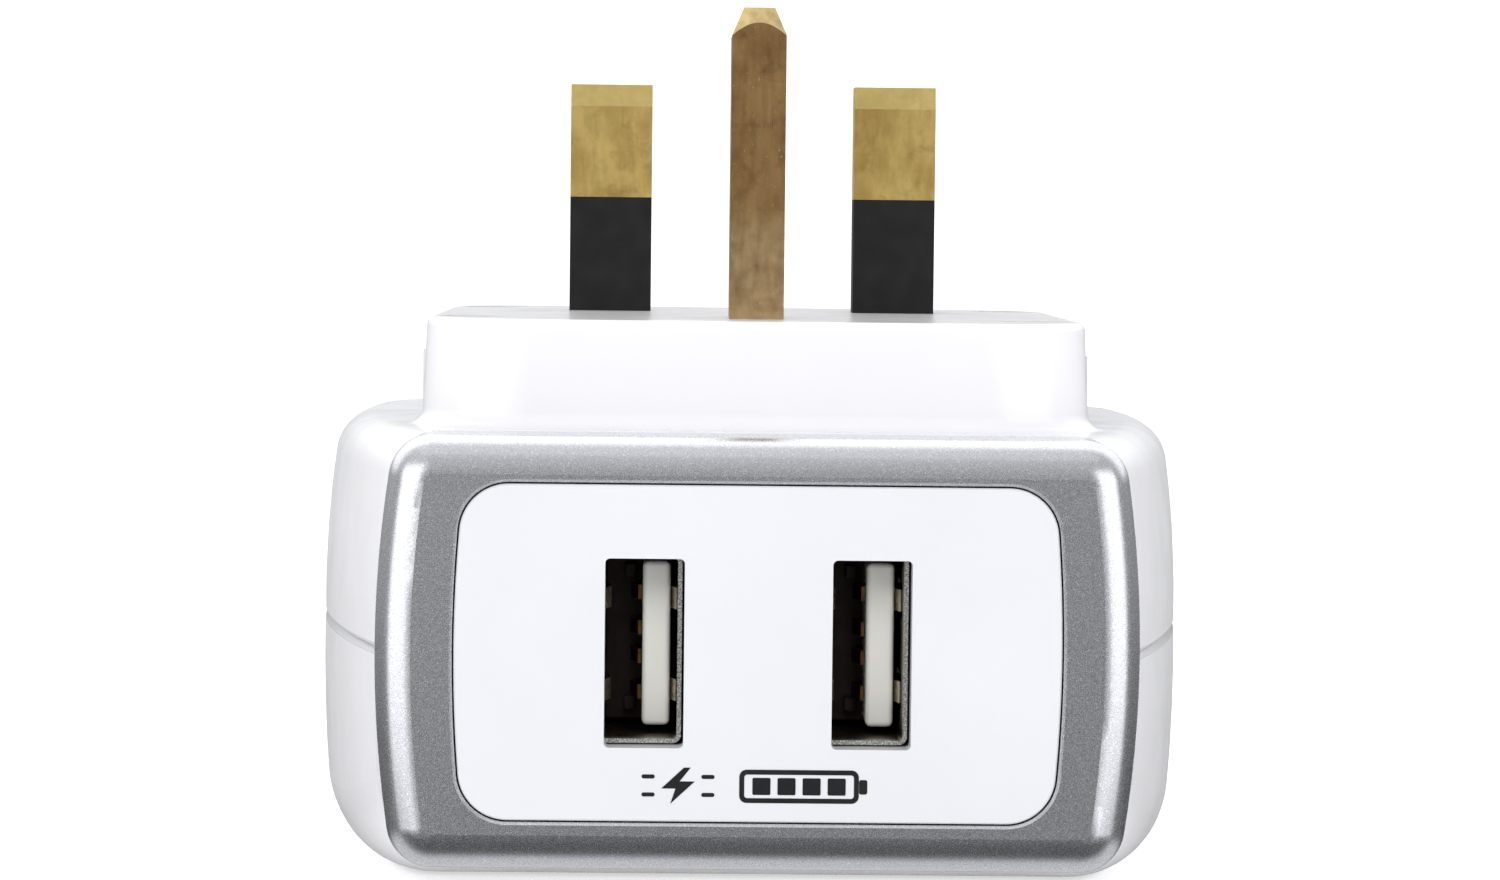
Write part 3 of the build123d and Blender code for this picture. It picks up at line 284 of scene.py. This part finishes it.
def aged_brass(name, bright, tarnish, stain, polish_and_highlight, roughness, rubbed=None):
    """Bare brass: tarnish in soft clouds and stains, with a painted highlight in the polish colour on faces
    that turn up toward the tip.

    rubbed is the height up to which handling keeps the metal lighter, with its colour.
    """
    s = Shader(name, bright, roughness, 1.0)
    clouds = s.ramp(s.noise(2.6, 5, (1, 1, 1.7), 0.6), [(0.40, 0.0), (0.62, 1.0)])
    stains = s.ramp(s.noise(1.3, 5, (1.3, 1, 1), 0.55), [(0.54, 0.0), (0.80, 0.8)])
    colour = s.mix(stains, s.mix(clouds, bright, tarnish), stain)
    if rubbed:
        height, rubbed_colour = rubbed
        worn = s.nodes.new("ShaderNodeMapRange")
        worn.inputs["From Min"].default_value = height + 1.2 * MM
        worn.inputs["From Max"].default_value = height - 1.2 * MM
        wobble = s.nodes.new("ShaderNodeMath")
        wobble.operation = "MULTIPLY_ADD"
        wobble.inputs[1].default_value = 3.0 * MM
        s.links.new(s.noise(1.4, 4), wobble.inputs[0])
        s.links.new(s.split("Object")["Z"], wobble.inputs[2])
        s.links.new(wobble.outputs["Value"], worn.inputs["Value"])
        patches = s.ramp(s.noise(0.9, 5), [(0.35, (0.45, 0.45, 0.45)), (0.65, (0.95, 0.95, 0.95))])
        amount = s.nodes.new("ShaderNodeMath")
        amount.operation = "MULTIPLY"
        s.links.new(worn.outputs["Result"], amount.inputs[0])
        s.links.new(patches, amount.inputs[1])
        colour = s.mix(amount.outputs["Value"], colour, rubbed_colour)
        nicks = s.ramp(s.noise(0.16, 2, (1, 1, 1.6)), [(0.70, 0.0), (0.76, 0.7)])
        colour = s.mix(nicks, colour, polish_and_highlight)
    # Painted highlight: faces turned upward, such as the tip and its taper, are painted in the polish colour.
    slope = s.ramp(s.split("Normal")["Z"], [(0.12, 0.0), (0.24, 0.7)])
    shine = s.mix(s.ramp(s.noise(0.7, 4), [(0.4, 0.0), (0.62, 1.0)]), polish_and_highlight, tarnish)
    s.colour(s.mix(slope, colour, s.mix(0.35, polish_and_highlight, shine)))
    s.roughness(s.noise(0.35, 4, (1, 1, 5)), roughness - 0.08, roughness + 0.14)
    s.bump(s.noise(0.22, 4, (1, 1, 9)), 0.007)
    s.bump(s.noise(0.08, 2), 0.003)
    return s.material


def solder_mask(name, colour):
    """Circuit board: glass weave showing faintly through a coloured lacquer."""
    s = Shader(name, colour, 0.32, IOR=1.5)
    weave = s.ramp(s.noise(0.35, 2, (6, 1, 1)), [(0.4, 0.0), (0.65, 1.0)])
    s.colour(s.mix(weave, colour, tuple(c * 1.5 for c in colour)))
    s.roughness(s.noise(1.5, 3), 0.26, 0.4)
    s.bump(s.noise(0.3, 2, (1, 6, 1)), 0.01)
    return s.material


def wound(name, colour, pitch_mm):
    """Enamelled wire or tape: even turns stacked along Z, with small tone changes."""
    s = Shader(name, colour, 0.3, 0.75)
    wave = s.nodes.new("ShaderNodeTexWave")
    wave.bands_direction = "Z"
    wave.inputs["Scale"].default_value = 2 * math.pi / (20 * pitch_mm * MM)
    s.links.new(s.coordinates.outputs["Object"], wave.inputs["Vector"])
    patches = s.ramp(s.noise(1.2, 3), [(0.4, 0.0), (0.65, 1.0)])
    s.colour(s.mix(patches, colour, tuple(c * 0.7 for c in colour)))
    s.roughness(s.noise(0.5, 3), 0.22, 0.42)
    s.bump(wave.outputs["Fac"], 0.08)
    return s.material


def ceramic(name, colour, roughness=0.75):
    """Fired or pressed powder: fine grit, darker pores."""
    s = Shader(name, colour, roughness, IOR=1.5)
    pores = s.ramp(s.noise(0.3, 4, roughness=0.7), [(0.3, 1.0), (0.45, 0.0)])
    s.colour(s.mix(pores, colour, tuple(c * 0.55 for c in colour)))
    s.roughness(s.noise(0.4, 3), roughness - 0.1, roughness + 0.1)
    s.bump(s.noise(0.15, 4), 0.015)
    return s.material


BRASS = ((0.78, 0.57, 0.20), (0.60, 0.41, 0.13), (0.42, 0.27, 0.085), (0.74, 0.60, 0.24))
EARTH_BRASS = ((0.50, 0.30, 0.125), (0.33, 0.185, 0.075), (0.22, 0.122, 0.05), (1.0, 0.80, 0.40))
HANDLED_BRASS = (0.66, 0.46, 0.24)
SLOT_LOOKS = {
    "white_gloss_abs": gloss_plastic("white_gloss_abs", (0.735, 0.73, 0.748), 0.2, seam_z=PARTING_Z),
    "panel_white": gloss_plastic("panel_white", (0.622, 0.627, 0.650), 0.3),
    "silver_paint": metallic_paint("silver_paint"),
    "brass": aged_brass("brass", *BRASS, 0.38),
    "sleeve_black": matte_plastic("sleeve_black", (0.004, 0.0045, 0.0042), 0.7),
    "black_moulding": matte_plastic("black_moulding", (0.012, 0.011, 0.011), 0.5),
    "tinned_metal": metal("tinned_metal", (0.66, 0.66, 0.64), (0.42, 0.41, 0.38), 0.34, patch_mm=1.2),
    "lead_brown": gloss_plastic("lead_brown", (0.09, 0.035, 0.015), 0.35, 0.8),
    "lead_blue": gloss_plastic("lead_blue", (0.012, 0.06, 0.28), 0.35, 0.8),
    "zinc_steel": metal("zinc_steel", (0.56, 0.58, 0.60), (0.38, 0.38, 0.36), 0.3, (1, 1, 1), 1.4),
    "circuit_board": solder_mask("circuit_board", (0.012, 0.09, 0.035)),
    "capacitor_sleeve": gloss_plastic("capacitor_sleeve", (0.010, 0.014, 0.03), 0.25, 0.7),
    "component_black": matte_plastic("component_black", (0.014, 0.014, 0.015), 0.45, 0.15, 0.008),
    "component_white": ceramic("component_white", (0.62, 0.61, 0.56), 0.5),
    "component_yellow": gloss_plastic("component_yellow", (0.72, 0.50, 0.06), 0.28, 0.85),
    "component_blue": gloss_plastic("component_blue", (0.02, 0.14, 0.42), 0.3, 0.8),
    "ferrite": ceramic("ferrite", (0.045, 0.045, 0.05)),
    "copper_wire": wound("copper_wire", (0.62, 0.25, 0.09), 0.3),
    "tape_yellow": gloss_plastic("tape_yellow", (0.78, 0.55, 0.10), 0.24, 0.85),
    "gilt_contact": metal("gilt_contact", (0.30, 0.17, 0.06), (0.14, 0.08, 0.03), 0.34, (1, 6, 1), 0.8),
    "nickel_steel": worn_shaded_steel("nickel_steel"),
    "tongue_white": gloss_plastic("tongue_white", (0.96, 0.955, 0.89), 0.4, 0.94),
}
earth_brass = aged_brass("earth_brass", *EARTH_BRASS, 0.30, (PIN_FACE_Z + HANDLED_HEIGHT, HANDLED_BRASS))
legend_ink = matte_plastic("legend_ink", (0.006, 0.006, 0.007), 0.55, 0.12, 0.004)
# Near black for the carrier at the back of each port, standing in for the shade down inside the port.
carrier_shade_black = matte_plastic("carrier_shade_black", (0.036, 0.025, 0.021), 0.6, 0.3, 0.01)

slot_of = {part["node"]: part["material_slot"] for part in frame["record"]["subparts"]}


def paint(obj, material):
    """Gives an object one material in every slot."""
    for slot in obj.material_slots:
        slot.material = material
    if not obj.material_slots:
        obj.data.materials.append(material)


for name, obj in frame["nodes"].items():
    paint(obj, earth_brass if name == "earth_pin" else SLOT_LOOKS[slot_of[name]])


# ---------------------------------------------------------------- detailed pieces


def piece(name, form, material, stands_for=(), smooth=True):
    """Makes an object from a bmesh, riding on the part's one body."""
    mesh = bpy.data.meshes.new(name)
    bmesh.ops.recalc_face_normals(form, faces=form.faces)
    form.to_mesh(mesh)
    form.free()
    for face in mesh.polygons:
        face.use_smooth = smooth
    obj = bpy.data.objects.new(name, mesh)
    bpy.context.scene.collection.objects.link(obj)
    mesh.materials.append(material)
    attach(obj, "root")
    if stands_for:
        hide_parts(*stands_for)


def rounded_block(form, low, high, radius, segments=3):
    """Adds a box between two corners with all its edges rounded."""
    size = [h - l for l, h in zip(low, high)]
    centre = [(h + l) / 2 for l, h in zip(low, high)]
    place = Matrix.Translation(centre) @ Matrix.Diagonal((*size, 1))
    made = bmesh.ops.create_cube(form, size=1, matrix=place)
    edges = list({edge for vert in made["verts"] for edge in vert.link_edges})
    bmesh.ops.bevel(form, geom=edges, offset=radius, segments=segments, profile=0.5, affect="EDGES")


def contact_spring(form, x, z, mouth_y, back_y):
    """Adds one contact: a strip that bows away from the tongue near the mouth."""
    length = back_y - mouth_y
    low_z, high_z = z - CONTACT_WIDTH / 2, z + CONTACT_WIDTH / 2
    rows = []
    for step in range(17):
        along = step / 16
        bow = CONTACT_BOW * math.exp(-(((along - 0.2) / 0.13) ** 2))
        y = mouth_y + along * length
        face_x = x - bow
        far_x = face_x - CONTACT_THICKNESS
        corners = ((face_x, low_z), (face_x, high_z), (far_x, high_z), (far_x, low_z))
        rows.append([form.verts.new((px, y, pz)) for px, pz in corners])
    for low, high in zip(rows, rows[1:]):
        for side in range(4):
            form.faces.new((low[side], low[(side + 1) % 4], high[(side + 1) % 4], high[side]))
    form.faces.new(rows[0])
    form.faces.new(rows[-1])


def add_port(side):
    """The inside of one receptacle: ivory tongue, a carrier coloured near black as painted shade, and bowed
    contacts.
    """
    low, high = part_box(side + "_usb_insulator")
    contacts_low, contacts_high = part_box(side + "_usb_contacts")
    shell_low, shell_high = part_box(side + "_usb_shell")
    stands_for = (side + "_usb_insulator",)
    tongue_low_x = contacts_high[0]
    tongue_high_x = tongue_low_x + TONGUE_THICKNESS
    carrier_y = shell_low[1] + CARRIER_DEPTH
    tongue = bmesh.new()
    centre_z = (shell_low[2] + shell_high[2]) / 2
    rounded_block(tongue, (tongue_low_x, low[1], centre_z - TONGUE_HALF_HEIGHT),
                  (tongue_high_x, carrier_y + 0.2 * MM, centre_z + TONGUE_HALF_HEIGHT), 0.42 * MM, 5)
    piece(side + "_usb_tongue", tongue, SLOT_LOOKS["tongue_white"], stands_for)
    # The carrier's near-black colour is painted shade.
    carrier = bmesh.new()
    rounded_block(carrier, (shell_low[0] + SHELL_WALL, carrier_y, shell_low[2] + SHELL_WALL + 0.3 * MM),
                  (shell_high[0] - SHELL_WALL, high[1], shell_high[2] - SHELL_WALL - 0.3 * MM), 0.2 * MM)
    for step in (-1, 1):
        key_z = centre_z + step * KEY_SPACING
        rounded_block(carrier, (tongue_low_x - 1.3 * MM, carrier_y - 1.2 * MM, key_z - 0.5 * MM),
                      (tongue_low_x - 0.5 * MM, carrier_y + 0.1 * MM, key_z + 0.5 * MM), 0.15 * MM)
    piece(side + "_usb_carrier", carrier, carrier_shade_black, stands_for)
    springs = bmesh.new()
    first_z = contacts_low[2] + CONTACT_WIDTH / 2
    last_z = contacts_high[2] - CONTACT_WIDTH / 2
    middle = (first_z + last_z) / 2
    for z in (first_z, middle - 1.0 * MM, middle + 1.0 * MM, last_z):
        contact_spring(springs, tongue_low_x, z, contacts_low[1], contacts_high[1])
    piece(side + "_contact_springs", springs, SLOT_LOOKS["gilt_contact"],
          (side + "_usb_contacts",), smooth=False)


def flat_shape(form, outline, front_y, back_y):
    """Adds a thin plate from an outline of (x, z) points."""
    front = [form.verts.new((x, front_y, z)) for x, z in outline]
    back = [form.verts.new((x, back_y, z)) for x, z in outline]
    form.faces.new(front)
    form.faces.new(back[::-1])
    for i in range(len(outline)):
        j = (i + 1) % len(outline)
        form.faces.new((front[i], back[i], back[j], front[j]))


def rounded_outline(x, z, half_x, half_z, radius, steps=6):
    """Points round a rounded rectangle centred on (x, z)."""
    points = []
    for quarter, (sx, sz) in enumerate(((1, 1), (-1, 1), (-1, -1), (1, -1))):
        for step in range(steps + 1):
            angle = (quarter + step / steps) * math.pi / 2
            points.append((x + sx * (half_x - radius) + radius * math.cos(angle),
                           z + sz * (half_z - radius) + radius * math.sin(angle)))
    return points


def add_legend():
    """A charging symbol in black ink under the ports: a lightning bolt and a battery with four bars."""
    panel_front_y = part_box("usb_panel")[0][1]
    front_y, back_y = panel_front_y - INK_THICKNESS / 2, panel_front_y + INK_THICKNESS / 2
    z = LEGEND_Z
    ink = bmesh.new()

    def plate(x, centre_z, half_x, half_z, radius):
        flat_shape(ink, rounded_outline(x, centre_z, half_x, half_z, radius), front_y, back_y)

    bolt = [(0.35, 1.25), (-1.0, -0.2), (-0.15, -0.2), (-0.45, -1.25), (1.0, 0.3), (0.1, 0.3), (0.75, 1.25)]
    flat_shape(ink, [(BOLT_X + x * BOLT_STRETCH * MM, z + h * MM) for x, h in bolt], front_y, back_y)
    for side in (-1, 1):
        for lift in (-DASH_LIFT, DASH_LIFT):
            plate(BOLT_X + side * DASH_X, z + lift, 0.45 * MM, 0.14 * MM, 0.13 * MM)
    half_x, half_z, line = 4.1 * MM, 1.15 * MM, 0.34 * MM
    outer = rounded_outline(BATTERY_X, z, half_x, half_z, 0.5 * MM)
    inner = rounded_outline(BATTERY_X, z, half_x - line, half_z - line, 0.2 * MM)
    for y in (front_y, back_y):
        loops = [[ink.verts.new((px, y, pz)) for px, pz in loop] for loop in (outer, inner)]
        for i in range(len(outer)):
            j = (i + 1) % len(outer)
            ink.faces.new((loops[0][i], loops[0][j], loops[1][j], loops[1][i]))
    plate(BATTERY_X + half_x + 0.3 * MM, z, 0.28 * MM, 0.5 * MM, 0.14 * MM)
    for bar in range(BATTERY_BARS):
        bar_x = BATTERY_X + (bar - (BATTERY_BARS - 1) / 2) * BAR_PITCH
        plate(bar_x, z, 0.62 * MM, half_z - line - 0.22 * MM, 0.1 * MM)
    piece("charge_legend", ink, legend_ink, smooth=False)


for side in ("left", "right"):
    add_port(side)
add_legend()


# ---------------------------------------------------------------- studio


def add_camera():
    """The camera stands in front of the ports, a little above the pin face."""
    camera = bpy.data.cameras.new("camera")
    camera.lens = LENS_MM
    camera.sensor_width = SENSOR_MM
    camera.clip_start = 0.01
    view = bpy.data.objects.new("camera", camera)
    bpy.context.scene.collection.objects.link(view)
    turn = Matrix.Rotation(-CAMERA_TURN, 4, "Z")
    tilt = Matrix.Rotation(math.pi / 2 - CAMERA_TILT, 4, "X")
    roll = Matrix.Rotation(CAMERA_ROLL, 4, "Z")
    view.matrix_world = Matrix.Translation(CAMERA_MM * MM) @ turn @ tilt @ roll
    bpy.context.scene.camera = view


def area_light(name, place, target, size, power):
    """A rectangular softbox that faces the target; size is width and height in metres."""
    light = bpy.data.lights.new(name, "AREA")
    light.shape = "RECTANGLE"
    light.size, light.size_y = size
    light.energy = power
    obj = bpy.data.objects.new(name, light)
    bpy.context.scene.collection.objects.link(obj)
    aim = Vector(target) - Vector(place)
    obj.matrix_world = Matrix.Translation(place) @ aim.to_track_quat("-Z", "Y").to_matrix().to_4x4()
    return obj


def add_stage():
    """A pale sweep: floor that rises into a backdrop behind the charger."""
    mesh = bpy.data.meshes.new("floor")
    form = bmesh.new()
    floor_z, front_y, back_y, rise = 0.0, -1.2, 0.5, 0.35
    profile = [(front_y, floor_z), (back_y, floor_z)]
    for step in range(1, 13):
        angle = step / 12 * math.pi / 2
        profile.append((back_y + rise * math.sin(angle), floor_z + rise * (1 - math.cos(angle))))
    profile.append((back_y + rise, 2.2))
    rows = [[form.verts.new((x, y, z)) for x in (-1.8, 1.8)] for y, z in profile]
    for low, high in zip(rows, rows[1:]):
        form.faces.new((low[0], low[1], high[1], high[0]))
    form.to_mesh(mesh)
    form.free()
    for face in mesh.polygons:
        face.use_smooth = True
    floor = bpy.data.objects.new("floor", mesh)
    bpy.context.scene.collection.objects.link(floor)
    paper = Shader("paper", (0.60, 0.60, 0.605), 0.7, Emission_Color=(1, 1, 1, 1), Emission_Strength=0.5)
    paper.bump(paper.noise(1.2, 4), 0.02)
    mesh.materials.append(paper.material)
    floor.visible_glossy = False


def add_world():
    """Surroundings by direction: two tall soft boxes in front, brighter above and behind than below."""
    world = bpy.data.worlds.new("studio")
    world.use_nodes = True
    nodes, links = world.node_tree.nodes, world.node_tree.links
    split = nodes.new("ShaderNodeSeparateXYZ")
    links.new(nodes.new("ShaderNodeTexCoord").outputs["Generated"], split.inputs["Vector"])
    x, y, z = split.outputs

    def combine(operation, first, second):
        node = nodes.new("ShaderNodeMath")
        node.operation = operation
        for socket, value in zip(node.inputs, (first, second)):
            if isinstance(value, bpy.types.NodeSocket):
                links.new(value, socket)
            else:
                socket.default_value = value
        return node.outputs["Value"]

    def step(value, start, end, low=0.0, high=1.0):
        """Rises smoothly from low to high while the value goes from start to end."""
        node = nodes.new("ShaderNodeMapRange")
        node.interpolation_type = "SMOOTHSTEP"
        for socket, number in (("From Min", start), ("From Max", end), ("To Min", low), ("To Max", high)):
            node.inputs[socket].default_value = number
        links.new(value, node.inputs["Value"])
        return node.outputs["Result"]

    def product(*factors):
        total = factors[0]
        for factor in factors[1:]:
            total = combine("MULTIPLY", total, factor)
        return total

    sideways = combine("ABSOLUTE", combine("SUBTRACT", x, 0.03), 0.0)
    above = combine("ADD", step(z, -0.23, 0.01, 0.04, BASE_FRONT), step(z, 0.0, 0.95, 0.0, BASE_ABOVE))
    above = product(above, step(x, -0.14, 0.14, 1.12, 0.88))
    box_height = product(step(z, -0.34, -0.14), step(z, 0.62, 0.3))
    boxes = product(step(sideways, 0.22, 0.40), step(y, -0.14, -0.32), box_height)
    behind_above = product(step(y, 0.0, 0.45), step(z, 0.02, 0.3))
    behind_below = product(step(y, -0.5, 0.1), step(z, -0.22, -0.55))
    light = combine("ADD", above, product(boxes, BOX_LIGHT))
    light = combine("ADD", light, product(behind_above, BEHIND_ABOVE))
    light = combine("ADD", light, product(behind_below, BEHIND_BELOW))
    links.new(light, nodes["Background"].inputs["Strength"])
    nodes["Background"].inputs["Color"].default_value = (0.975, 0.985, 1.0, 1)
    world.cycles.sampling_method = "NONE"
    bpy.context.scene.world = world


def add_lights():
    """A large box overhead, a key box in front and above, and a fill box at either side."""
    area_light("top_box", (0, -0.1, 0.8), LIGHT_AIM, (0.9, 0.8), TOP_POWER)
    key = area_light("key_box", (-0.12, -0.8, 0.5), LIGHT_AIM, (0.6, 0.4), KEY_POWER)
    key.visible_glossy = False
    for side, power in ((-1, FILL_POWER), (1, FILL_POWER * RIGHT_FILL_SHARE)):
        fill = area_light("fill_box", (side * 0.8, -0.1, 0.3), LIGHT_AIM, (0.5, 0.5), power)
        fill.visible_glossy = False


add_camera()
add_stage()
add_world()
add_lights()
scene = bpy.context.scene
scene.view_settings.view_transform = "Standard"
